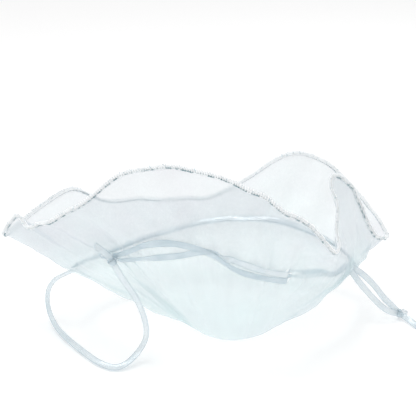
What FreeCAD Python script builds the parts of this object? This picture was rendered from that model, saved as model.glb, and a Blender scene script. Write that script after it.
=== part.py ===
"""A round organza gift pouch standing open: one circle of sheer cloth gathered by two satin ribbon drawstrings.

Millimetres, +Z up, origin at the centre of the flattened bottom that the pouch stands on. Both ribbons run round the
gathering line and through slits in the cloth: outside it along the front, inside it along the rear. They leave at
opposite sides and are pulled along -X and +X. Cloth is a thin closed solid, and one circle of cloth is carried by
five zones: the bottom, two side folds that stay, and a front and a rear wall that fold inward.
"""

import FreeCAD, Part
import math
import os

from FreeCAD import Vector

# Driving dimensions
BOTTOM_RADIUS = 16.0        # flat disc the pouch stands on
CLOTH = 0.8                 # thickness of the cloth solids
ZONE_GAP = 0.09             # half the gap between two zones, in stations around the mouth
BOTTOM_TOP = 0.46           # share of the way from the bottom disc to the gathering line where the walls start
BOTTOM_GAP = 0.012          # gap between the bottom and the walls, as the same share
BOWL_SLANT = 62.0           # cloth from the bottom disc to the gathering line
FLOUNCE = 36.0              # cloth from the gathering line to the rim

RIBBON_WIDTH = 3.0
RIBBON_THICKNESS = 0.5
RIBBON_OUT = {"left": 1.0, "right": 1.7}    # middle of a ribbon run from the middle of the cloth

RIM_HALF = 1.1              # metallic overlock, half its width
RIM_THICKNESS = 1.5

SLIT_LENGTH = 9.0           # across the gathering line
SLIT_HALF = 0.16            # half a slit's gape, in stations
PASS_HALF = 0.06            # half the stretch in which a ribbon passes through a slit, in stations
KNOT_RADIUS = 2.9
TAIL_THICKNESS = 0.5

# The mouth: pairs of a point on the gathering line and the rim point above it. They start at the left exit and go
# round the front to the right exit and back round the rear.
MOUTH = [
    ((-61, -11, 50), (-87, -8, 70)),      # left exit
    ((-55, -20, 55), (-74, -20, 82)),
    ((-47, -29, 60), (-60, -25, 94)),
    ((-37, -38, 63), (-45, -32, 99)),     # front lobe, the highest
    ((-25, -44, 63), (-31, -40, 99)),
    ((-12, -46, 56), (-17, -50, 96)),
    ((3, -44, 48), (-2, -57, 88)),
    ((20, -38, 41), (15, -58, 75)),
    ((34, -32, 37), (31, -52, 59)),       # valley at the front right
    ((43, -27, 33), (39, -34, 68)),
    ((51, -20, 31), (44, -17, 80)),       # inner fold of the right side
    ((58, -11, 28.5), (57, -12, 70)),     # right exit
    ((65, -3, 25), (74, -4, 41)),
    ((65, 8, 26), (88, 10, 35)),          # right corner
    ((59, 19, 30), (79, 30, 52)),
    ((47, 28, 35), (65, 40, 66)),
    ((37, 37, 37), (46, 44, 71)),         # lobe at the rear right
    ((24, 44, 37), (26, 52, 57)),
    ((11, 49, 36), (8, 59, 46)),
    ((-3, 52, 34), (-11, 64, 45)),
    ((-17, 53, 31), (-29, 71, 44)),
    ((-33, 51, 29), (-49, 70, 46)),
    ((-47, 45, 28), (-66, 58, 59)),       # lobe at the rear left
    ((-64, 37, 27), (-85, 46, 56)),
    ((-74, 24, 30), (-105, 31, 49)),      # left corner
    ((-73, 9, 37), (-100, 19, 63)),
    ((-67, -2, 45), (-95, 6, 63)),
]
STATIONS = len(MOUTH)
RIGHT_EXIT = 11

# At each station, how far the bowl runs outward before it rises, and how upright the cloth is at the gathering line
BULGE = (
    0.25, 0.25, 0.25, 0.25, 0.3, 0.35, 0.4, 0.55, 0.65, 0.7, 0.75, 0.8, 0.8, 0.8,
    0.8, 0.8, 0.8, 0.8, 0.8, 0.8, 0.8, 0.7, 0.5, 0.35, 0.25, 0.25, 0.25,
)
UPTURN = (
    0.2, 0.3, 0.4, 0.4, 0.4, 0.4, 0.4, 0.3, 0.2, 0.2, 0.2, 0.1, 0.0, 0.0,
    0.1, 0.3, 0.4, 0.5, 0.5, 0.5, 0.4, 0.3, 0.2, 0.0, -0.1, -0.1, 0.0,
)

# Slits, as stations. The ribbons are outside the cloth from the left slit to the front slit, and inside elsewhere.
# The left ribbon's loop ends at the loop slit, and the right ribbon's legs at the right exit.
LEFT_SLIT = STATIONS - 0.35
FRONT_SLIT = 6.6
LOOP_SLIT = 24.4
SLITS = (LEFT_SLIT, FRONT_SLIT, RIGHT_EXIT, LOOP_SLIT)

# The stretch of the gathering line in which each ribbon is away from it, as a free loop or legs
FREE_STRETCH = {"left": (LOOP_SLIT - 0.1, STATIONS + 0.3), "right": (RIGHT_EXIT - 0.1, RIGHT_EXIT + 0.3)}

# How far each ribbon lies above the gathering line at the first stations; it keeps its last value up to the last
# station. The ribbons cross at the front.
RIBBON_LIFT = {
    "left": (-2.0, -2.6, -3.7, -2.8, -0.2, 1.0, 1.2, 1.7, 1.7, 0.9, 0.5),
    "right": (2.0, 2.2, 3.4, 3.0, -0.6, -3.4, -2.6, -1.9, -1.7, -0.9, -0.5),
}

# Poles of a surface: for each whole s, and for each station of the cloth and of a ribbon
S_POLES = 8
T_POLES = 4
RIBBON_T_POLES = 20

# Zones around the mouth, from one station to another
ZONES = {
    "front": (1.5, 8.5),
    "right": (8.5, 15.5),
    "rear": (15.5, 22.5),
    "left": (22.5, STATIONS + 1.5),
}
CLOTH_NAMES = {"front": "front_wall", "right": "right_fold", "rear": "rear_wall", "left": "left_fold"}

# Free ribbons, as the corners of their routes
LEFT_LOOP = [
    (-62.6, -19.2, 51.8),
    (-58.3, -21.3, 43),
    (-52.5, -22, 33),
    (-49, -22, 22.5),
    (-48, -21.5, 13),
    (-51.5, -22, 6.5),
    (-58.5, -26, 2.6),
    (-65, -27, 1.6),
    (-71, -20, 1.6),
    (-76, -8, 1.6),
    (-81, 6, 1.6),
    (-85, 19, 2.4),
    (-87, 30, 8),
    (-86, 32, 17),
    (-82.5, 28, 24),
    (-78.5, 22.5, 28.5),
]
RIGHT_UPPER_LEG = [
    (61.5, -13, 27.5),
    (65.5, -14.5, 24),
    (70.5, -16, 18.5),
    (74.5, -18, 12.5),
    (79, -18.2, 7.8),
    (83, -20, 3.4),
]
RIGHT_LOWER_LEG = [
    (59, -17.8, 24),
    (61.5, -20.5, 19.5),
    (65.5, -22.5, 14.5),
    (70.5, -24, 9.5),
    (76, -24.7, 5.5),
    (83, -20, 3.4),
]
LEFT_KNOT = (-62.6, -19.2, 51.8)
RIGHT_KNOT = (83, -20, 3.4)
LEFT_TAILS = [((-63.2, -19.2, 53.2), (-69.6, -18, 59.8))]
RIGHT_TAILS = [((84, -19, 3), (89, -15, 1.2)), ((84, -22, 3), (87, -33, 1.2))]


def spline(points, t):
    """Closed Catmull-Rom curve through the points, one point for each whole t."""
    base = math.floor(t)
    u = t - base
    p0, p1, p2, p3 = (Vector(*points[(base + k) % len(points)]) for k in (-1, 0, 1, 2))
    return (
        p1 * 2
        + (p2 - p0) * u
        + (p0 * 2 - p1 * 5 + p2 * 4 - p3) * u**2
        + (p1 * 3 - p0 - p2 * 3 + p3) * u**3
    ) * 0.5


def around_mouth(values, t):
    """Smooth value at a station, from one number for each whole t."""
    return spline([(value, 0, 0) for value in values], t).x


def hermite(start, leave, end, arrive, u):
    """Cubic from start to end with the given end velocities."""
    return (
        start * (2 * u**3 - 3 * u**2 + 1)
        + leave * (u**3 - 2 * u**2 + u)
        + end * (3 * u**2 - 2 * u**3)
        + arrive * (u**3 - u**2)
    )


def unit(vector):
    return vector * (1 / vector.Length)


def cloth_middle(s, t):
    """Middle of the cloth: s is 0 at the bottom disc, 1 at the gathering line and 2 at the rim, t goes round."""
    line = spline([pair[0] for pair in MOUTH], t)
    rim = spline([pair[1] for pair in MOUTH], t)
    outward = unit(Vector(line.x, line.y, 0))
    foot = outward * BOTTOM_RADIUS + Vector(0, 0, CLOTH / 2)
    rise = line - foot
    flare = rim - line
    through = unit(unit(rise) + unit(flare) * 0.8 + Vector(0, 0, around_mouth(UPTURN, t)))
    if s <= 1:
        leave = outward * (rise.Length * around_mouth(BULGE, t))
        return hermite(foot, leave, line, through * rise.Length, s)
    return hermite(line, through * flare.Length, rim, flare, s - 1)


def cloth_point(s, t, out):
    """A point of the cloth moved out along its own normal."""
    if s < 1e-6:
        return cloth_middle(0, t) - Vector(0, 0, out)
    step = 0.02
    along = cloth_middle(s + step, t) - cloth_middle(s - step, t)
    around = cloth_middle(s, t + step) - cloth_middle(s, t - step)
    normal = unit(around.cross(along))
    return cloth_middle(s, t) + normal * out


def spread(start, end, count):
    return [start + (end - start) * k / (count - 1) for k in range(count)]


def at(value, t):
    """A value that may change round the mouth."""
    return value(t) if callable(value) else value


def net(s_range, t_range, out, t_poles=T_POLES):
    """Poles of a patch of the cloth, at a distance out from its middle: a row for each place round the mouth.

    Both ends of s_range, and out, are numbers or functions of the station.
    """
    low, high = s_range
    s_count = max(4, round((at(high, t_range[0]) - at(low, t_range[0])) * S_POLES))
    t_count = max(4, round((t_range[1] - t_range[0]) * t_poles) + 1)
    return [
        [cloth_point(s, t, at(out, t)) for s in spread(at(low, t), at(high, t), s_count)]
        for t in spread(*t_range, t_count)
    ]


def clamped(count):
    """Degree, knots and multiplicities of a spline that reaches its end poles: cubic, or straight with two poles."""
    degree = min(3, count - 1)
    spans = count - degree
    return degree, [k / spans for k in range(spans + 1)], [degree + 1] + [1] * (spans - 1) + [degree + 1]


def spline_surface(poles):
    row_degree, row_knots, row_mults = clamped(len(poles))
    degree, knots, mults = clamped(len(poles[0]))
    surface = Part.BSplineSurface()
    surface.buildFromPolesMultsKnots(poles, row_mults, mults, row_knots, knots, False, False, row_degree, degree)
    return surface


def column(poles, index):
    return [row[index] for row in poles]


def closed_solid(faces):
    shell = Part.makeCompound(faces)
    shell.sewShape(0.01)
    solid = Part.makeSolid(shell.Shells[0])
    if solid.Volume < 0:
        solid.reverse()
    return solid


def patch_solid(s_range, t_range, out, thickness, t_poles=T_POLES):
    """Closed solid over a patch of the cloth: two skins and the four narrow sides between them."""
    outer = net(s_range, t_range, lambda t: at(out, t) + thickness / 2, t_poles)
    inner = net(s_range, t_range, lambda t: at(out, t) - thickness / 2, t_poles)
    sides = [[outer[end], inner[end]] for end in (0, -1)]
    sides += [[column(outer, end), column(inner, end)] for end in (0, -1)]
    return closed_solid([spline_surface(poles).toShape() for poles in [outer, inner] + sides])


def line_s(distance):
    """The s of a line that runs this far above the gathering line, or below it where negative."""
    return 1 + distance / (FLOUNCE if distance > 0 else BOWL_SLANT)


def bottom():
    """The pouch bottom: a flat disc that turns up into the lower part of the bowl, as one solid."""
    halves = [(0, RIGHT_EXIT), (RIGHT_EXIT, STATIONS)]
    outer = [net((0, BOTTOM_TOP), half, CLOTH / 2) for half in halves]
    inner = [net((0, BOTTOM_TOP), half, -CLOTH / 2) for half in halves]
    tops = [[column(a, -1), column(b, -1)] for a, b in zip(outer, inner)]
    faces = [spline_surface(poles).toShape() for poles in outer + inner + tops]
    for skins in (outer, inner):
        arcs = [spline_surface(poles).vIso(0).toShape() for poles in skins]
        faces.append(Part.Face(Part.Wire(arcs)))
    return closed_solid(faces)


def zone_range(zone):
    start, end = ZONES[zone]
    return start + ZONE_GAP, end - ZONE_GAP


def slit_cutter(station):
    """The space that a slit leaves open, where the ribbons hold it apart."""
    s_range = (line_s(-SLIT_LENGTH / 2), line_s(SLIT_LENGTH / 2))
    return patch_solid(s_range, (station - SLIT_HALF, station + SLIT_HALF), 0, 4 * CLOTH)


def wall(zone):
    """One zone of the cloth from the bottom to the rim, with its slit where it has one."""
    cloth = patch_solid((BOTTOM_TOP + BOTTOM_GAP, 2), zone_range(zone), 0, CLOTH)
    for station in SLITS:
        if ZONES[zone][0] < station < ZONES[zone][1]:
            cloth = cloth.cut(slit_cutter(station)).Solids[0]
    return cloth


def lift(ribbon, t):
    """How far a ribbon lies above the gathering line. It comes back to its first value before the left slit."""
    given = RIBBON_LIFT[ribbon]
    heights = given + given[-1:] * (STATIONS - len(given) - 2) + given[:1] * 2
    return around_mouth(heights, t)


def side_of_cloth(t):
    """1 where the ribbons run outside the cloth, -1 where they run inside, and between the two at a slit."""
    here = t % STATIONS
    into = (here - LEFT_SLIT) / PASS_HALF if here > STATIONS / 2 else (FRONT_SLIT - here) / PASS_HALF
    return max(-1, min(1, into))


def stretches(ribbon, zone):
    """The zone's stretches of a ribbon, on either side of where it is free."""
    start, end = zone_range(zone)
    leaves, returns = FREE_STRETCH[ribbon]
    if end <= leaves or start >= returns:
        return [(start, end)]
    return [span for span in ((start, min(leaves, end)), (max(returns, start), end)) if span[0] < span[1]]


def ribbon_run(ribbon, zone):
    """A ribbon's run round the gathering line within one zone."""
    half = RIBBON_WIDTH / 2
    s_range = (lambda t: line_s(lift(ribbon, t) - half), lambda t: line_s(lift(ribbon, t) + half))
    out = lambda t: side_of_cloth(t) * RIBBON_OUT[ribbon]
    return [
        patch_solid(s_range, stretch, out, RIBBON_THICKNESS, RIBBON_T_POLES)
        for stretch in stretches(ribbon, zone)
    ]


def rim_overlock(zone):
    """Metallic overlock stitching round the rim, from just above the cloth's edge outward."""
    edge = 2 + 0.1 / FLOUNCE
    s_range = (edge, edge + 2 * RIM_HALF / FLOUNCE)
    return [patch_solid(s_range, zone_range(zone), 0, RIM_THICKNESS)]


def corner_arc(before, corner, after):
    """Tangent points and radius of the arc that rounds a corner of a route."""
    arriving = corner - before
    leaving = after - corner
    turn = arriving.getAngle(leaving)
    cut = 0.45 * min(arriving.Length, leaving.Length)
    return corner - unit(arriving) * cut, corner + unit(leaving) * cut, cut / math.tan(turn / 2)


def tube(name, route):
    """Round tube along straight runs joined by tangent arcs."""
    points = [Vector(*p) for p in route]
    edges = []
    radii = []
    here = points[0]
    for before, corner, after in zip(points, points[1:], points[2:]):
        start, end, radius = corner_arc(before, corner, after)
        radii.append(round(radius, 1))
        bisector = unit(unit(before - corner) + unit(after - corner))
        half_chord = (start - end).Length / 2
        reach = math.sqrt(radius**2 + (corner - start).Length ** 2)
        middle = corner + bisector * (reach - radius)
        edges.append(Part.LineSegment(here, start).toShape())
        edges.append(Part.Arc(start, middle, end).toShape())
        here = end
    edges.append(Part.LineSegment(here, points[-1]).toShape())
    wire = Part.Wire(edges)
    section = Part.Wire(Part.Circle(points[0], points[1] - points[0], RIBBON_WIDTH / 2).toShape())
    solid = wire.makePipeShell([section], True, False)
    expected = math.pi * (RIBBON_WIDTH / 2) ** 2 * wire.Length
    print(f"{name}: length {wire.Length:.0f}, radii {radii}, volume {solid.Volume / expected:.3f} of section x length")
    return solid


def knot(place):
    """An overhand knot's outer shape: a slightly flattened ball."""
    ball = Part.makeSphere(KNOT_RADIUS)
    squeeze = FreeCAD.Matrix()
    squeeze.scale(1.15, 1.0, 0.95)
    ball = ball.transformGeometry(squeeze)
    ball.translate(Vector(*place))
    return ball


def tail(start, end):
    """Flat ribbon end that sticks out of a knot, cut on the slant."""
    start = Vector(*start)
    along = Vector(*end) - start
    across = unit(along.cross(Vector(0, 0, 1))) * (RIBBON_WIDTH / 2)
    through = unit(across.cross(along)) * TAIL_THICKNESS
    slant = unit(along) * RIBBON_WIDTH
    corners = [start - across, start + across, start + along + across, start + along - slant - across]
    outline = Part.makePolygon(corners + corners[:1])
    return Part.Face(outline).extrude(through)


def tails(ends, ball):
    return [tail(*pair).cut(ball) for pair in ends]


def save(name, solids):
    shape = solids[0] if len(solids) == 1 else Part.makeCompound(solids)
    valid = all(s.isValid() and s.Volume > 0 for s in solids)
    print(f"{name}: {len(solids)} solid(s), volume {shape.Volume:.1f}, valid {valid}")
    shape.exportStep(f"parts/{name}.step")


def main():
    os.makedirs("parts", exist_ok=True)
    save("bottom", [bottom()])
    for zone, cloth_name in CLOTH_NAMES.items():
        save(cloth_name, [wall(zone)])
        save(f"rim_overlock_{zone}", rim_overlock(zone))
        save(f"left_ribbon_{zone}_run", ribbon_run("left", zone))
        save(f"right_ribbon_{zone}_run", ribbon_run("right", zone))

    left_ball = knot(LEFT_KNOT)
    right_ball = knot(RIGHT_KNOT)
    save("left_ribbon_knot", [left_ball])
    save("left_ribbon_loop", [tube("left_ribbon_loop", LEFT_LOOP).cut(left_ball)])
    save("left_ribbon_tail", tails(LEFT_TAILS, left_ball))
    save("right_ribbon_knot", [right_ball])
    save("right_ribbon_upper_leg", [tube("right_ribbon_upper_leg", RIGHT_UPPER_LEG).cut(right_ball)])
    save("right_ribbon_lower_leg", [tube("right_ribbon_lower_leg", RIGHT_LOWER_LEG).cut(right_ball)])
    save("right_ribbon_tails", tails(RIGHT_TAILS, right_ball))


main()
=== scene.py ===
"""Looks of a round organza gift pouch that stands open.

It has sheer gathered cloth, satin ribbons and a silver overlocked rim. Metres, in the CAD model's frame:
+Z up, -Y the front. The cloth is one circle, built by one formula in two halves that meet at the two ribbon
exits.
"""

import math

import bmesh
import bpy
import numpy as np
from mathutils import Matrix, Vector, noise


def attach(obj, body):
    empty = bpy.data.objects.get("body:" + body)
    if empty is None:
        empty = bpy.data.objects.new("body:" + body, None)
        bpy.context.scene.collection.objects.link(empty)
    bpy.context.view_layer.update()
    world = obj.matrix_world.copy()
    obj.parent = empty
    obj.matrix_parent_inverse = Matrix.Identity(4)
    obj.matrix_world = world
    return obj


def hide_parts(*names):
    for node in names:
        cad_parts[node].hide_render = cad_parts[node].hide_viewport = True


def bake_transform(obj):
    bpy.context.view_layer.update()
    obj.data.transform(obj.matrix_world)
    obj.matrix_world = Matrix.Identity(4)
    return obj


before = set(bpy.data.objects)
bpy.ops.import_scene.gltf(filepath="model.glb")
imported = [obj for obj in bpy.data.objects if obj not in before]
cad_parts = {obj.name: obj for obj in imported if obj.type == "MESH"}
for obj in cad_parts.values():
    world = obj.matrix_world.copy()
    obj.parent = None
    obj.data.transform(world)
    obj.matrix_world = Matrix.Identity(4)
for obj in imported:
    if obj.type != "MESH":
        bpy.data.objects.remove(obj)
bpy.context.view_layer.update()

MM = 0.001


# ---------------------------------------------------------------- camera

CAMERA_PLACE = (-0.1381, -0.4123, 0.2385)
CAMERA_AIM = (-0.0106, 0.0045, 0.0624)


def look_at(thing, target):
    """Turns a camera or a lamp towards a point."""
    direction = Vector(target) - thing.location
    thing.rotation_euler = direction.to_track_quat("-Z", "Y").to_euler()


def add_camera():
    lens = bpy.data.cameras.new("camera")
    lens.lens = 85
    lens.sensor_width = 36
    lens.clip_start = 0.01
    camera = bpy.data.objects.new("camera", lens)
    bpy.context.collection.objects.link(camera)
    camera.location = CAMERA_PLACE
    look_at(camera, CAMERA_AIM)
    bpy.context.scene.camera = camera


add_camera()


# ---------------------------------------------------------------- nodes and materials

class Nodes:
    """Short way to add and link a material's nodes."""

    def __init__(self, name):
        self.material = bpy.data.materials.new(name)
        self.material.use_nodes = True
        self.tree = self.material.node_tree
        self.shader = self.tree.nodes["Principled BSDF"]

    def add(self, kind, inputs=(), **settings):
        node = self.tree.nodes.new("ShaderNode" + kind)
        for key, value in settings.items():
            setattr(node, key, value)
        for key, value in dict(inputs).items():
            self.put(node, key, value)
        return node

    def put(self, node, key, value):
        if isinstance(value, bpy.types.NodeSocket):
            self.tree.links.new(value, node.inputs[key])
        else:
            node.inputs[key].default_value = value

    def set(self, **values):
        for key, value in values.items():
            self.put(self.shader, key.replace("_", " "), value)

    def math(self, operation, a, b=0.0):
        return self.add("Math", {0: a, 1: b}, operation=operation).outputs[0]

    def mix(self, factor, a, b):
        node = self.add("Mix", {0: factor, 6: a, 7: b}, data_type="RGBA")
        return node.outputs[2]

    def ramp(self, value, low, high, to_low=0.0, to_high=1.0):
        """Maps low to to_low and high to to_high, straight between them and level beyond."""
        inputs = {"Value": value, "From Min": low, "From Max": high, "To Min": to_low, "To Max": to_high}
        return self.add("MapRange", inputs).outputs[0]

    def noise(self, scale, detail=2.0, vector=None):
        inputs = {"Scale": scale, "Detail": detail}
        if vector is not None:
            inputs["Vector"] = vector
        return self.add("TexNoise", inputs).outputs["Fac"]

    def object_place(self):
        return self.add("TexCoord").outputs["Object"]

    def uv(self):
        return self.add("UVMap", uv_map=UV_NAME).outputs[0]

    def bump(self, height, distance, strength=1.0):
        node = self.add("Bump", {"Strength": strength, "Distance": distance, "Height": height})
        self.put(self.shader, "Normal", node.outputs[0])


UV_NAME = "laid_flat"
WEAVE_PITCH = 0.42 * MM
COOL_CLOTH = (0.66, 0.83, 0.84, 1)
WARM_SHADED_CLOTH = (0.66, 0.69, 0.75, 1)
SATIN_RIB_PITCH = 0.22 * MM
SATIN_EDGE_SHADE = (0.48, 0.62, 0.70, 1)


def threads(nodes, value, pitch):
    """1 on the middle of each thread and 0 between two threads."""
    wave = nodes.math("SINE", nodes.math("MULTIPLY", value, math.tau / pitch))
    return nodes.ramp(wave, -1, 1)


def organza_material():
    """Sheer cloth that turns warmer and less see-through across the gathering line, towards the rim: painted
    shade.
    """
    nodes = Nodes("organza")
    place = nodes.object_place()
    flat = nodes.add("SeparateXYZ", {0: nodes.uv()}).outputs
    weave = nodes.math("MAXIMUM", threads(nodes, flat[0], WEAVE_PITCH), threads(nodes, flat[1], WEAVE_PITCH))
    cloud = nodes.noise(38, 3, place)
    slub = nodes.noise(900, 2, place)
    radius = nodes.add("VectorMath", {0: nodes.uv()}, operation="LENGTH").outputs["Value"]
    # Towards the rim the tint shifts to the darker, warmer colour: painted shade on the flounce.
    outward = nodes.ramp(radius, 70 * MM, 95 * MM, 0.0, 0.5)
    warmth_and_shade = nodes.math("ADD", nodes.ramp(cloud, 0.3, 0.7, 0.0, 0.5), outward)
    tint = nodes.mix(warmth_and_shade, COOL_CLOTH, WARM_SHADED_CLOTH)
    alpha = nodes.math("ADD", nodes.ramp(weave, 0, 1, 0.24, 0.36), nodes.ramp(cloud, 0.3, 0.7, -0.02, 0.03))
    alpha = nodes.math("ADD", alpha, nodes.ramp(slub, 0.4, 0.8, 0.0, 0.02))
    # Denser cloth towards the rim darkens the flounce: partly the gathered cloth, partly painted shade.
    alpha = nodes.math("MULTIPLY", alpha, nodes.ramp(radius, 62 * MM, 84 * MM, 0.95, 1.4))
    nodes.set(Base_Color=tint, Alpha=alpha, Roughness=nodes.ramp(slub, 0.3, 0.7, 0.34, 0.48))
    nodes.set(Sheen_Weight=0.35, Sheen_Roughness=0.35, Sheen_Tint=(0.88, 0.95, 1.0, 1), IOR=1.45)
    nodes.bump(weave, 0.05 * MM, 0.6)
    return nodes.material


def satin_material(name, light, dark, roughness, metallic):
    """Ribbed satin with a woven edge, its colour painted darker there as painted shade."""
    nodes = Nodes(name)
    place = nodes.object_place()
    flat = nodes.add("SeparateXYZ", {0: nodes.uv()}).outputs
    ribs = threads(nodes, flat[1], SATIN_RIB_PITCH)
    edge = nodes.ramp(nodes.math("ABSOLUTE", flat[0]), 1.15 * MM, 1.35 * MM)
    cloud = nodes.noise(120, 3, place)
    body = nodes.mix(nodes.ramp(cloud, 0.35, 0.65), dark, light)
    # The edges are painted darker: painted shade on the cambered ribbon.
    colour = nodes.mix(nodes.math("MULTIPLY", edge, 0.5), body, SATIN_EDGE_SHADE)
    alpha = nodes.ramp(edge, 0, 1, 0.60, 0.66)
    nodes.set(Base_Color=colour, Alpha=alpha, Anisotropic=0.5)
    nodes.set(Roughness=nodes.ramp(ribs, 0, 1, roughness, roughness + 0.12), Metallic=metallic)
    nodes.set(Sheen_Weight=0.2, Sheen_Roughness=0.4, Specular_IOR_Level=0.7)
    nodes.bump(nodes.math("ADD", ribs, nodes.math("MULTIPLY", edge, 2.0)), 0.03 * MM, 0.7)
    return nodes.material


def metallic_material(name, light, dark, low, scale):
    """Silver thread with dark flecks, painted shade in the stitch loops. A higher low gives more of them, and
    a higher scale smaller ones.
    """
    nodes = Nodes(name)
    place = nodes.object_place()
    shade_fleck = nodes.noise(scale, 2, place)
    # Dark flecks: painted shade in the loops of the stitches.
    colour = nodes.mix(nodes.ramp(shade_fleck, low, low + 0.16), dark, light)
    nodes.set(Base_Color=colour, Metallic=0.1, Roughness=nodes.ramp(shade_fleck, 0.3, 0.7, 0.2, 0.42))
    nodes.set(Sheen_Weight=0.5, Sheen_Roughness=0.5)
    nodes.bump(nodes.noise(5200, 2, place), 0.06 * MM, 0.7)
    return nodes.material


ORGANZA = organza_material()
SATIN = satin_material(
    "satin_ribbon", light=(0.92, 0.97, 0.99, 1), dark=(0.84, 0.92, 0.96, 1), roughness=0.18, metallic=0.4,
)
# The ribbon's dull back, a copy of the satin painted darker: painted shade on the faces turned away.
SATIN_SHADED_BACK = satin_material(
    "satin_ribbon_shaded_back", light=(0.68, 0.79, 0.85, 1), dark=(0.53, 0.65, 0.72, 1), roughness=0.36,
    metallic=0.1,
)
SILVER = metallic_material(
    "metallic_thread", light=(0.97, 0.99, 1.0, 1), dark=(0.66, 0.76, 0.80, 1), low=0.28, scale=900,
)
# Thread for the outside of the rim, with many dark flecks: painted shade in the stitch loops.
SHADE_FLECKED = metallic_material(
    "metallic_thread_shade_flecked", light=(0.92, 0.96, 0.98, 1), dark=(0.20, 0.32, 0.36, 1), low=0.40, scale=420,
)


# ---------------------------------------------------------------- meshes

def new_piece(name, vertices, faces, material, uvs=None):
    mesh = bpy.data.meshes.new(name)
    mesh.from_pydata([tuple(v) for v in vertices], [], faces)
    if uvs is not None:
        layer = mesh.uv_layers.new(name=UV_NAME)
        corners = np.empty(len(mesh.loops), int)
        mesh.loops.foreach_get("vertex_index", corners)
        layer.data.foreach_set("uv", np.asarray(uvs)[corners].ravel())
    mesh.materials.append(material)
    mesh.shade_smooth()
    piece = bpy.data.objects.new(name, mesh)
    bpy.context.collection.objects.link(piece)
    return piece


def grid_faces(rows, columns, closed=False):
    """Quads of a grid of vertices numbered row by row. A closed grid joins the last column to the first."""
    across = columns if closed else columns - 1
    faces = []
    for row in range(rows - 1):
        below, above = row * columns, (row + 1) * columns
        for column in range(across):
            following = (column + 1) % columns
            faces.append((below + column, below + following, above + following, above + column))
    return faces


def tube_faces(rings, sides):
    """Faces of a tube of vertex rings, with a cap on each end."""
    first = tuple(range(sides))[::-1]
    last = tuple(range((rings - 1) * sides, rings * sides))
    return grid_faces(rings, sides, closed=True) + [first, last]


def unit(v):
    return v / np.linalg.norm(v, axis=-1, keepdims=True)


def lengths_along(path):
    """How far along a path of points each of them lies."""
    return np.concatenate([[0], np.cumsum(np.linalg.norm(np.diff(path, axis=0), axis=1))])


def turn_about(tangent, across, angle):
    """Turns the across directions about the path by an angle at each point."""
    return across * np.cos(angle)[:, None] + np.cross(tangent, across) * np.sin(angle)[:, None]


# ---------------------------------------------------------------- the cloth's formula

BOTTOM_RADIUS = 16 * MM
BOTTOM_HEIGHT = 0.4 * MM
BOWL_SLANT = 62 * MM        # cloth from the bottom disc to the gathering line
FLOUNCE = 36 * MM           # cloth from the gathering line to the rim
RIGHT_EXIT = 11
FRONT_SLIT = 6.6

# Pairs of a point on the gathering line and the rim point above it, in millimetres
MOUTH = MM * np.array([
    ((-61, -11, 50), (-87, -8, 70)),      # left exit
    ((-55, -20, 55), (-74, -20, 82)),
    ((-47, -29, 60), (-60, -25, 94)),
    ((-37, -38, 63), (-45, -32, 99)),     # front lobe, the highest
    ((-25, -44, 63), (-31, -40, 99)),
    ((-12, -46, 56), (-17, -50, 96)),
    ((3, -44, 48), (-2, -57, 88)),
    ((20, -38, 41), (15, -58, 75)),
    ((34, -32, 37), (31, -52, 59)),       # valley at the front right
    ((43, -27, 33), (39, -34, 68)),
    ((51, -20, 31), (44, -17, 80)),       # inner fold of the right side
    ((58, -11, 28.5), (57, -12, 70)),     # right exit
    ((65, -3, 25), (74, -4, 41)),
    ((65, 8, 26), (88, 10, 35)),          # right corner
    ((59, 19, 30), (79, 30, 52)),
    ((47, 28, 35), (65, 40, 66)),
    ((37, 37, 37), (46, 44, 71)),         # lobe at the rear right
    ((24, 44, 37), (26, 52, 57)),
    ((11, 49, 36), (8, 59, 46)),
    ((-3, 52, 34), (-11, 64, 45)),
    ((-17, 53, 31), (-29, 71, 44)),
    ((-33, 51, 29), (-49, 70, 46)),
    ((-47, 45, 28), (-66, 58, 59)),       # lobe at the rear left
    ((-64, 37, 27), (-85, 46, 56)),
    ((-74, 24, 30), (-105, 31, 49)),      # left corner
    ((-73, 9, 37), (-100, 19, 63)),
    ((-67, -2, 45), (-95, 6, 63)),
])
STATIONS = len(MOUTH)
LEFT_SLIT = STATIONS - 0.35
LOOP_SLIT = 24.4

# At each station, how far the bowl runs outward before it rises, and how upright the cloth is at the line
BULGE = np.array((
    0.25, 0.25, 0.25, 0.25, 0.3, 0.35, 0.4, 0.55, 0.65, 0.7, 0.75, 0.8, 0.8, 0.8,
    0.8, 0.8, 0.8, 0.8, 0.8, 0.8, 0.8, 0.7, 0.5, 0.35, 0.25, 0.25, 0.25,
))
UPTURN = np.array((
    0.2, 0.3, 0.4, 0.4, 0.4, 0.4, 0.4, 0.3, 0.2, 0.2, 0.2, 0.1, 0.0, 0.0,
    0.1, 0.3, 0.4, 0.5, 0.5, 0.5, 0.4, 0.3, 0.2, 0.0, -0.1, -0.1, 0.0,
))


def spline(points, t):
    """Closed Catmull-Rom curve through the points, one point for each whole t."""
    base = np.floor(t).astype(int)
    u = (t - base)[..., None]
    p0, p1, p2, p3 = (points[(base + k) % len(points)] for k in (-1, 0, 1, 2))
    square = (2 * p0 - 5 * p1 + 4 * p2 - p3) * u**2
    cube = (3 * p1 - p0 - 3 * p2 + p3) * u**3
    return 0.5 * (2 * p1 + (p2 - p0) * u + square + cube)


def hermite(start, leave, end, arrive, u):
    """Cubic from start to end with the given end velocities."""
    return (
        start * (2 * u**3 - 3 * u**2 + 1)
        + leave * (u**3 - 2 * u**2 + u)
        + end * (3 * u**2 - 2 * u**3)
        + arrive * (u**3 - u**2)
    )


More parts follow.
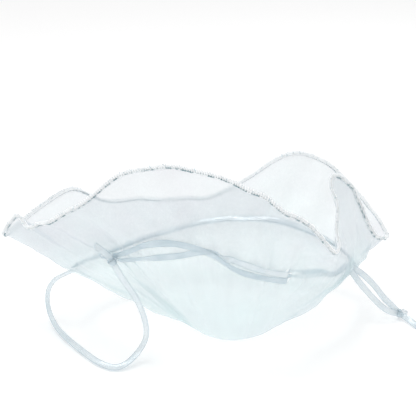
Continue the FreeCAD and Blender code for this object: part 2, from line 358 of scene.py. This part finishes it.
def smooth_cloth(s, t):
    """The cloth without its pleats.

    s is -1 at the centre, 0 at the bottom disc's edge, 1 at the gathering line and 2 at the rim.
    """
    line = spline(MOUTH[:, 0], t)
    rim = spline(MOUTH[:, 1], t)
    outward = unit(line * (1, 1, 0))
    foot = outward * BOTTOM_RADIUS + np.array((0, 0, BOTTOM_HEIGHT))
    rise = line - foot
    flare = rim - line
    rise_length = np.linalg.norm(rise, axis=-1, keepdims=True)
    flare_length = np.linalg.norm(flare, axis=-1, keepdims=True)
    bulge = spline(BULGE[:, None], t)
    upturn = spline(UPTURN[:, None], t) * np.array((0, 0, 1))
    through = unit(unit(rise) + 0.8 * unit(flare) + upturn)
    s = s[..., None]
    bowl = hermite(foot, outward * rise_length * bulge, line, through * rise_length, s)
    flounce = hermite(line, through * flare_length, rim, flare, s - 1)
    beyond = rim + flare * (s - 2)
    disc = outward * BOTTOM_RADIUS * (1 + s) + np.array((0, 0, BOTTOM_HEIGHT))
    return np.where(s < 0, disc, np.where(s <= 1, bowl, np.where(s <= 2, flounce, beyond)))


def cloth_normal(s, t):
    step = 0.02
    s_inner = np.maximum(s, step)
    along = smooth_cloth(s_inner + step, t) - smooth_cloth(s_inner - step, t)
    around = smooth_cloth(s_inner, t + step) - smooth_cloth(s_inner, t - step)
    return unit(np.cross(around, along))


def step_up(value, low, high):
    u = np.clip((value - low) / (high - low), 0, 1)
    return u * u * (3 - 2 * u)


def side_of_cloth(t, half_width):
    """1 where the ribbons run outside the cloth, -1 where they run inside, between the two at a slit."""
    here = np.mod(t, STATIONS)
    into = np.where(here > STATIONS / 2, (here - LEFT_SLIT) / half_width, (FRONT_SLIT - here) / half_width)
    return np.clip(into, -1, 1)


PLEATS = 47                 # gathers round the line
PLEAT_DEPTH = 1.554 * MM
FOLDS = 21                  # longer soft folds in the bowl and the flounce
FOLD_DEPTH = 1.3 * MM


def pleat_offset(s, t):
    """How far the gathers move the cloth along its normal: away from the ribbons, most at the line."""
    turn = math.tau * t / STATIONS
    phase = PLEATS * turn + 1.1 * np.sin(3 * turn + 0.4) + 0.9 * np.sin(7 * turn + 2)
    phase = phase + 0.6 * np.sin(13 * turn)
    uneven = 0.8 + 0.4 * np.sin(5 * turn + 1) + 0.35 * np.sin(9 * turn + 0.3)
    depth = PLEAT_DEPTH * np.clip(uneven, 0.15, 1.4)
    near = np.exp(-(((s - 1) / 0.2) ** 2)) + 0.35 * np.exp(-(((s - 1) / 0.5) ** 2))
    return -side_of_cloth(t, 0.35) * depth * near * (0.5 + 0.5 * np.sin(phase)) ** 1.3


def fold_offset(s, t):
    """How far the longer folds move the cloth along its normal.

    They fade out at the line and the bottom, and are weaker at the rim.
    """
    turn = math.tau * t / STATIONS
    lean = 0.8 * (s - 1)
    phase = FOLDS * turn + 1.2 * np.sin(4 * turn + 1.1) + 0.8 * np.sin(9 * turn) + lean
    wide = np.sin(phase) + 0.5 * np.sin(0.5 * (phase + 13 * turn) + 0.7 * np.sin(2 * turn))
    from_line = step_up(np.abs(s - 1), 0.03, 0.35)
    from_bottom = step_up(s, 0.1, 0.55)
    below_rim = 1 - 0.6 * step_up(s, 1.6, 2.0)
    return FOLD_DEPTH * wide * from_line * from_bottom * below_rim


def crumple(points, size, depth):
    """Small irregular dents, the same each run."""
    values = [noise.noise(Vector(p) / size) for p in points.reshape(-1, 3)]
    return depth * np.array(values).reshape(points.shape[:-1])


def cloth_point(s, t):
    """The cloth with its pleats, folds and dents."""
    smooth = smooth_cloth(s, t)
    ease = step_up(s, 0.0, 0.5) * (0.15 + 0.85 * step_up(np.abs(s - 1), 0.0, 0.25))
    dents = ease * (crumple(smooth, 13 * MM, 1.1 * MM) + crumple(smooth, 5 * MM, 0.35 * MM))
    offset = pleat_offset(s, t) + fold_offset(s, t) + dents
    return smooth + cloth_normal(s, t) * offset[..., None]


def flat_place(s, t):
    """Where a point of the cloth lies in the flat circle."""
    line = spline(MOUTH[:, 0], t)
    angle = np.arctan2(line[..., 1], line[..., 0])
    radius = BOTTOM_RADIUS + np.where(s < 0, s * BOTTOM_RADIUS, np.minimum(s, 1) * BOWL_SLANT)
    radius = radius + np.maximum(s - 1, 0) * FLOUNCE
    return np.stack([radius * np.cos(angle), radius * np.sin(angle)], axis=-1)


COLUMNS_PER_STATION = 26
BOTTOM_ROWS = 10
BOWL_ROWS = 62
FLOUNCE_ROWS = 42
HALVES = {"front": (0, RIGHT_EXIT), "rear": (RIGHT_EXIT, STATIONS)}
SLIT_HALF_LENGTH = 4.5 * MM
SLIT_OPENING = 0.07         # how far each lip moves aside, in stations


def line_s(distance):
    """The s of a line that runs this far above the gathering line, or below it where negative."""
    return 1 + np.where(distance > 0, distance / FLOUNCE, distance / BOWL_SLANT)


def height_above_line(s):
    """How far up the flat cloth s lies from the gathering line, negative below it."""
    return (s - 1) * np.where(s > 1, FLOUNCE, BOWL_SLANT)


def lip_shift(s, t, middle, side):
    """How far a slit's lip moves the cloth aside."""
    gape = np.sqrt(np.clip(1 - (height_above_line(s) / SLIT_HALF_LENGTH) ** 2, 0, 1))
    return side * SLIT_OPENING * gape * np.exp(-np.abs(t - middle) / 0.3)


def cloth_half(name, start, end):
    """One half of the cloth, with its slits cut and gaping."""
    columns = round((end - start) * COLUMNS_PER_STATION) + 1
    bottom = np.linspace(-1, 0, BOTTOM_ROWS + 1)[:-1]
    bowl = np.linspace(0, 1, BOWL_ROWS + 1)[:-1]
    flounce = np.linspace(1, 2, FLOUNCE_ROWS + 1)
    rows = np.concatenate([bottom, bowl, flounce])
    s, t = np.meshgrid(rows, np.linspace(start, end, columns), indexing="ij")
    cuts = []
    for middle in (FRONT_SLIT, RIGHT_EXIT, LOOP_SLIT, LEFT_SLIT):
        if start < middle < end:
            cut = int((middle - start) * COLUMNS_PER_STATION)
            cuts.append(cut)
            side = np.where(np.arange(columns) <= cut, -1, 1)[None, :]
            t = t + lip_shift(s, t, middle, side)
        elif middle in (start, end):
            t = t + lip_shift(s, t, middle, 1 if middle == start else -1)
    points = cloth_point(s, t)
    faces = grid_faces(len(rows), columns)
    in_slit = np.abs(height_above_line(rows)) < SLIT_HALF_LENGTH
    kept = []
    for index, face in enumerate(faces):
        row, column = divmod(index, columns - 1)
        if column in cuts and in_slit[row] and in_slit[row + 1]:
            continue
        kept.append(face)
    piece = new_piece(name, points.reshape(-1, 3), kept, ORGANZA, flat_place(s, t).reshape(-1, 2))
    weld(piece)
    return piece


def weld(piece):
    """Joins the points that share a place, as at the centre of the bottom."""
    work = bmesh.new()
    work.from_mesh(piece.data)
    bmesh.ops.remove_doubles(work, verts=work.verts, dist=1e-6)
    bmesh.ops.dissolve_degenerate(work, edges=work.edges, dist=1e-7)
    work.to_mesh(piece.data)
    work.free()
    piece.data.shade_smooth()


# ---------------------------------------------------------------- overlocked rim

RIM_SAMPLES = 2400
STITCH_PITCH = 1.15 * MM
POINTS_PER_STITCH = 10
THREAD_RADIUS = 0.3 * MM
STITCH_MIDDLE = 0.25 * MM   # the loops' middle lies this far beyond the cloth's edge
STITCH_UP = 1.0 * MM        # half the height of the wrapping thread's loops
STITCH_OUT = 0.5 * MM       # half their thickness through the cloth
CHAIN_RADIUS = 0.24 * MM
CHAIN_DROP = 0.5 * MM       # the chains run this far below the cloth's edge
CHAIN_OUT = 0.5 * MM        # and this far to each side of the cloth
CHAIN_SWING = 0.25 * MM     # each chain swings this far up and down
CHAIN_SWAY = 0.12 * MM      # and this far through the cloth
CORE_SPACING = 0.7 * MM
CORE_MIDDLE = 0.15 * MM     # beyond the cloth's edge
CORE_HALF_HEIGHT = 0.65 * MM
CORE_HALF_THICKNESS = 0.3 * MM
CORE_SIDES = 10


def tube_piece(name, path, radius, sides, material):
    """Round thread along a path of points, with its ends capped."""
    tangents = unit(np.gradient(path, axis=0))
    reference = np.zeros_like(tangents)
    normal = unit(np.cross(tangents[0], (0.3, 0.5, 0.8)))
    for i, tangent in enumerate(tangents):
        normal = unit(normal - tangent * np.dot(normal, tangent))
        reference[i] = normal
    other = np.cross(tangents, reference)
    angles = np.linspace(0, math.tau, sides, endpoint=False)
    ring = reference[:, None] * np.cos(angles)[:, None] + other[:, None] * np.sin(angles)[:, None]
    points = path[:, None] + radius * ring
    return new_piece(name, points.reshape(-1, 3), tube_faces(len(path), sides), material)


def rim_frame(t):
    """The rim's place, and the directions up out of the cloth and through the cloth."""
    two = np.full_like(t, 2.0)
    place = cloth_point(two, t)
    along = unit(np.gradient(place, axis=0))
    up = unit(smooth_cloth(two, t) - smooth_cloth(two - 0.05, t))
    up = unit(up - along * np.sum(up * along, axis=-1, keepdims=True))
    return place, up, np.cross(along, up)


def rim_stations(start, end, spacing):
    """Stations spread evenly along the rim."""
    fine = np.linspace(start, end, RIM_SAMPLES)
    place = rim_frame(fine)[0]
    length = lengths_along(place)
    count = max(2, round(length[-1] / spacing))
    return np.interp(np.linspace(0, length[-1], count + 1), length, fine), length[-1]


def join(pieces, name):
    for o in bpy.context.selected_objects:
        o.select_set(False)
    for piece in pieces:
        piece.select_set(True)
    bpy.context.view_layer.objects.active = pieces[0]
    bpy.ops.object.join()
    pieces[0].name = name
    return pieces[0]


def rim_core(name, start, end):
    """Flat band of thread that the stitches wrap."""
    stations = rim_stations(start, end, CORE_SPACING)[0]
    place, up, through = rim_frame(stations)
    angles = np.linspace(0, math.tau, CORE_SIDES, endpoint=False)
    band = place[:, None] + up[:, None] * (CORE_MIDDLE + CORE_HALF_HEIGHT * np.cos(angles))[:, None]
    band = band + through[:, None] * (CORE_HALF_THICKNESS * np.sin(angles))[:, None]
    return new_piece(name, band.reshape(-1, 3), tube_faces(len(stations), CORE_SIDES), SILVER)


def rim_half(name, start, end):
    """Overlock along one half of the rim: a wrapping thread, a chain of thread on each side, and the core."""
    t, length = rim_stations(start, end, STITCH_PITCH / POINTS_PER_STITCH)
    place, up, through = rim_frame(t)
    turns = np.linspace(0, math.tau * round(length / STITCH_PITCH), len(t))
    wobble = 1 + 0.08 * np.sin(turns * 0.37) + 0.05 * np.sin(turns * 0.171 + 1)
    over = up * (STITCH_UP * np.cos(turns) * wobble + STITCH_MIDDLE)[:, None]
    aside = through * (STITCH_OUT * np.sin(turns) * wobble)[:, None]
    pieces = [tube_piece(name + "_wrap", place + over + aside, THREAD_RADIUS, 6, SILVER)]
    # The outside chain gets the dark-flecked thread as painted shade; the inside chain stays pale.
    for side, material in ((1, SHADE_FLECKED), (-1, SILVER)):
        zigzag = up * (-CHAIN_DROP + CHAIN_SWING * np.sin(turns))[:, None]
        offset = through * (side * (CHAIN_OUT + CHAIN_SWAY * np.cos(2 * turns)))[:, None]
        pieces.append(tube_piece(f"{name}_chain_{side}", place + zigzag + offset, CHAIN_RADIUS, 5, material))
    pieces.append(rim_core(name + "_core", start, end))
    return join(pieces, name)


# ---------------------------------------------------------------- ribbons

RIBBON_WIDTH = 3 * MM
RIBBON_THICKNESS = 0.22 * MM
RIBBON_CAMBER = 0.12 * MM
RIBBON_OUT = {"left": 0.75 * MM, "right": 1.2 * MM}     # from the smooth cloth, where a ribbon runs outside
RIBBON_INSIDE = 1.9 * MM                               # and where it runs inside
TWIST_RISE = 1.3 * MM       # how far a ribbon stands off where it turns over
RUN_STEPS_PER_STATION = 40

# How far each inside run leans away from the cloth, in degrees, at a few stations
INSIDE_LEAN = {6: 75, 11: 70, 14: 50, 16: 28, 20: 25, 22: 60, 27: 65}

# How far each ribbon lies above the gathering line at the first stations, in millimetres. They cross there.
RIBBON_LIFT = {
    "left": (-2.0, -2.6, -3.7, -2.8, -0.2, 1.0, 1.2, 1.7, 1.7, 0.9, 0.5),
    "right": (2.0, 2.2, 3.4, 3.0, -0.6, -3.4, -2.6, -1.9, -1.7, -0.9, -0.5),
}


def strip_piece(name, path, across, through, glossy_side=1, width=RIBBON_WIDTH, thickness=RIBBON_THICKNESS,
                camber=RIBBON_CAMBER, slant=0.0):
    """Flat ribbon along a path, a little cambered and closed all round.

    Its glossy face is towards through where glossy_side is 1 and away from it where that is -1. A slant moves
    the corners of the far end apart along the path.
    """
    places = np.linspace(-1, 1, 9)
    curve = camber * (1 - places**2)
    halves = thickness / 2 * np.sqrt(np.clip(1 - places**6, 0.15, 1))
    front = np.stack([places, curve + halves], axis=-1)
    back = np.stack([places, curve - halves], axis=-1)[::-1]
    section = np.concatenate([front, back])
    aside = section[:, 0] * width / 2
    length = lengths_along(path)
    points = path[:, None] + across[:, None] * aside[:, None]
    points = points + through[:, None] * section[:, 1][:, None]
    cut = step_up(length, length[-1] - width, length[-1])[:, None] * aside * slant
    points = points + unit(np.gradient(path, axis=0))[:, None] * cut[..., None]
    uvs = np.empty(points.shape[:2] + (2,))
    uvs[..., 0] = aside
    uvs[..., 1] = length[:, None]
    count = len(section)
    piece = new_piece(name, points.reshape(-1, 3), tube_faces(len(path), count), SATIN, uvs.reshape(-1, 2))
    # The other face takes the darker satin: a dull back painted darker as painted shade.
    piece.data.materials.append(SATIN_SHADED_BACK)
    for index, face in enumerate(piece.data.polygons):
        side = 1 if index % count < len(places) else -1
        face.material_index = 0 if side == glossy_side else 1
    return piece


def lift(ribbon, t):
    """How far a ribbon lies above the gathering line."""
    given = RIBBON_LIFT[ribbon]
    heights = given + given[-1:] * (STATIONS - len(given) - 2) + given[:1] * 2
    return MM * spline(np.array(heights, float)[:, None], t)[..., 0]


def ribbon_run(name, ribbon, start, end, twist_at=None):
    """A ribbon threaded round the gathering line, outside the cloth at the front and inside it elsewhere."""
    t = np.linspace(start, end, round((end - start) * RUN_STEPS_PER_STATION) + 1)
    s = line_s(lift(ribbon, t))
    side = side_of_cloth(t, 0.06)
    out = np.where(side > 0, side * RIBBON_OUT[ribbon], side * RIBBON_INSIDE)
    normal = cloth_normal(s, t)
    path = smooth_cloth(s, t) + normal * out[:, None]
    tangent = unit(np.gradient(path, axis=0))
    across = unit(np.cross(tangent, normal))
    inside = step_up(-side_of_cloth(t, 0.5), -0.2, 1)
    given = np.radians(np.interp(t, list(INSIDE_LEAN), list(INSIDE_LEAN.values())))
    sway = 0.25 * np.sin(1.7 * t) + 0.15 * np.sin(4.3 * t + 1)
    lean = sway * (1 - 0.75 * inside) + given * inside
    if twist_at is not None:
        lean = lean + math.pi * step_up(t, *twist_at)
        path = path + normal * (TWIST_RISE * np.sin(math.pi * step_up(t, *twist_at)) ** 2)[:, None]
    turned = turn_about(tangent, across, lean)
    return strip_piece(name, path, turned, np.cross(turned, tangent), glossy_side=-1)


def curve_route(name, route):
    """Smooth line through a given route, as closely spaced points."""
    data = bpy.data.curves.new(name, "CURVE")
    data.dimensions = "3D"
    line = data.splines.new("NURBS")
    line.points.add(len(route) - 1)
    for point, place in zip(line.points, route):
        point.co = tuple(MM * v for v in place) + (1,)
    line.order_u = 3
    line.use_endpoint_u = True
    line.resolution_u = 24
    holder = bpy.data.objects.new(name, data)
    mesh = bpy.data.meshes.new_from_object(holder)
    points = np.array([v.co for v in mesh.vertices])
    bpy.data.objects.remove(holder)
    return points


def free_ribbon(name, route, facing, turns=0.0, slant=0.0):
    """Flat ribbon along a route, facing one way but for a small sway and the turns given, and its path."""
    path = curve_route(name + "_route", route)
    tangent = unit(np.gradient(path, axis=0))
    across = unit(np.cross(tangent, np.array(facing, float)))
    lean = turns * math.tau * np.linspace(0, 1, len(path)) + 0.2 * np.sin(np.linspace(0, 9, len(path)))
    turned = turn_about(tangent, across, lean)
    return strip_piece(name, path, turned, np.cross(turned, tangent), slant=slant), path


LEFT_LOOP = [
    (-59.5, -13.5, 51.2),
    (-61.2, -16.4, 52),
    (-62.6, -19.2, 51.8),
    (-58.3, -21.3, 43),
    (-52.5, -22, 33),
    (-49, -22, 22.5),
    (-48, -21.5, 13),
    (-51.5, -22, 6.5),
    (-58.5, -26, 2.6),
    (-65, -27, 1.6),
    (-71, -20, 1.6),
    (-76, -8, 1.6),
    (-81, 6, 1.6),
    (-85, 19, 2.4),
    (-87, 30, 8),
    (-86, 32, 17),
    (-82.5, 28, 24),
    (-78.5, 22.5, 28.5),
    (-74.5, 19.5, 31.5),
]
RIGHT_UPPER_LEG = [
    (58.5, -11, 29),
    (61.5, -13, 27.5),
    (65.5, -14.5, 24),
    (70.5, -16, 18.5),
    (74.5, -18, 12.5),
    (79, -18.2, 7.8),
    (83, -20, 3.4),
]
RIGHT_LOWER_LEG = [
    (58, -12, 28),
    (59.5, -15.5, 25),
    (62.5, -18, 20.5),
    (67, -20, 15),
    (72, -21.5, 9.5),
    (77.5, -22, 5.5),
    (83, -20, 3.4),
]
LEFT_KNOT = LEFT_LOOP[2]
RIGHT_KNOT = RIGHT_UPPER_LEG[-1]
KNOT_SIZE = 0.62 * MM       # a third of the knot's radius
KNOT_RIBBON_WIDTH = 2.3 * MM
KNOT_RIBBON_THICKNESS = 0.5 * MM
KNOT_RIBBON_CAMBER = 0.3 * MM


def knot_piece(name, place, turn):
    """Overhand knot: the ribbon wrapped in a tight trefoil."""
    u = np.linspace(0, math.tau, 121)
    trefoil = np.stack([
        np.sin(u) + 2 * np.sin(2 * u),
        np.cos(u) - 2 * np.cos(2 * u),
        -1.3 * np.sin(3 * u),
    ], axis=-1) * KNOT_SIZE
    spin = np.array(((math.cos(turn), 0, math.sin(turn)), (0, 1, 0), (-math.sin(turn), 0, math.cos(turn))))
    path = trefoil @ spin.T
    tangent = unit(np.gradient(path, axis=0))
    outward = unit(path + 1e-6)
    across = unit(np.cross(tangent, outward))
    centre = MM * np.array(place)
    return strip_piece(
        name, path + centre, across, np.cross(across, tangent),
        glossy_side=-1, width=KNOT_RIBBON_WIDTH, thickness=KNOT_RIBBON_THICKNESS, camber=KNOT_RIBBON_CAMBER,
    )


SLANT = 0.6                 # how far a cut end leans, for each unit of its half width
FRAY_THREADS = 8
FRAY_RADIUS = 0.08 * MM
FRAY_LENGTH = 1.2 * MM
FRAY_ROOT = 0.4 * MM        # how far inside the ribbon's end a loose thread starts


def tail_piece(name, route, facing):
    """Free ribbon end, cut on the slant, with loose threads at the cut."""
    strip, path = free_ribbon(name, route, facing, slant=SLANT)
    pieces = [strip]
    tangent = unit(path[-1] - path[-2])
    across = unit(np.cross(tangent, np.array(facing, float)))
    u = np.linspace(0, 1, 7)[:, None]
    for i in range(FRAY_THREADS):
        place = (2 * i + 1) / FRAY_THREADS - 1
        start = path[-1] + (across + tangent * SLANT) * place * 0.47 * RIBBON_WIDTH - tangent * FRAY_ROOT
        reach = FRAY_LENGTH + 0.5 * MM * math.sin(7 * i)
        bend = across * 0.5 * MM * math.sin(3 * i + 1) + np.array((0, 0, 0.3 * MM * math.cos(5 * i)))
        thread = start + tangent * reach * u + bend * u**2
        pieces.append(tube_piece(f"{name}_thread_{i}", thread, FRAY_RADIUS, 5, SATIN_SHADED_BACK))
    return join(pieces, name)


# ---------------------------------------------------------------- the whole pouch

# The CAD model's parts that each half of the cloth takes the place of
CLOTH_NODES = {"front": ("front_wall", "right_fold", "bottom"), "rear": ("rear_wall", "left_fold")}
ZONES = {"front": ("front", "right"), "rear": ("rear", "left")}


def bend_half(piece):
    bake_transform(piece)


def make_cloth():
    """Both halves of the cloth and of its overlocked rim."""
    cloth = {half: cloth_half(f"organza_{half}_half", *span) for half, span in HALVES.items()}
    rims = {half: rim_half(f"rim_overlock_{half}_half", *span) for half, span in HALVES.items()}
    for half in HALVES:
        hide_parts(*CLOTH_NODES[half])
        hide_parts(*(f"rim_overlock_{zone}" for zone in ZONES[half]))
        bend_half(cloth[half])
        bend_half(rims[half])
    return cloth, rims


RUNS = {
    "left": {"front": (0.3, RIGHT_EXIT), "rear": (RIGHT_EXIT, LOOP_SLIT - 0.1)},
    "right": {"front": (0, RIGHT_EXIT - 0.1), "rear": (RIGHT_EXIT + 0.3, STATIONS)},
}
TURNS_OVER = {("left", "front"): (4.15, 4.95)}         # the stations between which a run turns over


def make_runs():
    for ribbon, spans in RUNS.items():
        for half, (start, end) in spans.items():
            twist_at = TURNS_OVER.get((ribbon, half))
            piece = ribbon_run(f"{ribbon}_ribbon_{half}_half", ribbon, start, end, twist_at)
            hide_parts(*(f"{ribbon}_ribbon_{zone}_run" for zone in ZONES[half]))
            bend_half(piece)


TOWARDS_FRONT = (-0.35, -0.75, 0.55)
LOOP_TURNS = 0.17           # of a full turn, from one end of the loop to the other
LEFT_TAIL = [(-63.2, -19.2, 53.2), (-66, -19, 57), (-69.6, -18, 59.8)]
RIGHT_TAIL_A = [(84, -19, 3), (87, -17.5, 2.2), (89, -15, 1.6)]
RIGHT_TAIL_B = [(84, -22, 3), (86, -27, 2.2), (87, -33, 1.6)]


def make_free_ribbons():
    """The loop and the two legs, with the knots and tails at their ends."""
    loop, loop_path = free_ribbon("left_loop", LEFT_LOOP, TOWARDS_FRONT, turns=LOOP_TURNS)
    upper, upper_path = free_ribbon("right_upper_leg", RIGHT_UPPER_LEG, TOWARDS_FRONT)
    lower, lower_path = free_ribbon("right_lower_leg", RIGHT_LOWER_LEG, TOWARDS_FRONT)
    left_knot = knot_piece("left_knot", LEFT_KNOT, 0.4)
    right_knot = knot_piece("right_knot", RIGHT_KNOT, 1.2)
    left_tail = tail_piece("left_tail", LEFT_TAIL, TOWARDS_FRONT)
    right_tail_a = tail_piece("right_tail_a", RIGHT_TAIL_A, TOWARDS_FRONT)
    right_tail_b = tail_piece("right_tail_b", RIGHT_TAIL_B, TOWARDS_FRONT)
    for piece, node in (
        (loop, "left_ribbon_loop"),
        (upper, "right_ribbon_upper_leg"),
        (lower, "right_ribbon_lower_leg"),
        (left_knot, "left_ribbon_knot"),
        (right_knot, "right_ribbon_knot"),
        (left_tail, "left_ribbon_tail"),
        (right_tail_a, "right_ribbon_tails"),
    ):
        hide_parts(node)
    for piece in (left_knot, left_tail):
        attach(piece, "left_drawstring")
    for piece in (right_knot, right_tail_a, right_tail_b):
        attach(piece, "right_drawstring")
    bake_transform(loop)
    for piece in (upper, lower):
        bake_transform(piece)


cloth, rims = make_cloth()
make_runs()
make_free_ribbons()


# ---------------------------------------------------------------- floor and lights

FLOOR_REACH = 4.0
FLOOR_GLOW = 0.17
SKY_STRENGTH = 0.785
LAMP_TARGET = (0, 0, 0.04)

# Name, place, power in watts and width of each lamp
LAMPS = (
    ("key", (-0.20, 0.05, 0.85), 2.0, 0.25),
    ("fill", (-0.5, -0.5, 0.6), 0.3, 0.6),
    ("rim", (0.5, 0.4, 0.6), 0.5, 0.5),
)


def add_floor():
    corners = [(-1, -1), (1, -1), (1, 1), (-1, 1)]
    vertices = [(FLOOR_REACH * x, FLOOR_REACH * y, 0) for x, y in corners]
    nodes = Nodes("floor")
    nodes.set(Base_Color=(0.90, 0.90, 0.90, 1), Roughness=0.8)
    nodes.set(Emission_Color=(1, 1, 1, 1), Emission_Strength=FLOOR_GLOW)
    new_piece("floor", vertices, [(0, 1, 2, 3)], nodes.material)


def add_world():
    world = bpy.data.worlds.new("studio")
    bpy.context.scene.world = world
    world.use_nodes = True
    background = world.node_tree.nodes["Background"]
    background.inputs["Color"].default_value = (1.0, 1.0, 1.0, 1)
    background.inputs["Strength"].default_value = SKY_STRENGTH


def add_lamps():
    for name, place, power, width in LAMPS:
        light = bpy.data.lights.new(name, "AREA")
        light.energy = power
        light.size = width
        lamp = bpy.data.objects.new(name, light)
        bpy.context.collection.objects.link(lamp)
        lamp.location = place
        look_at(lamp, LAMP_TARGET)


add_floor()
add_world()
add_lamps()
bpy.context.scene.view_settings.view_transform = "Standard"
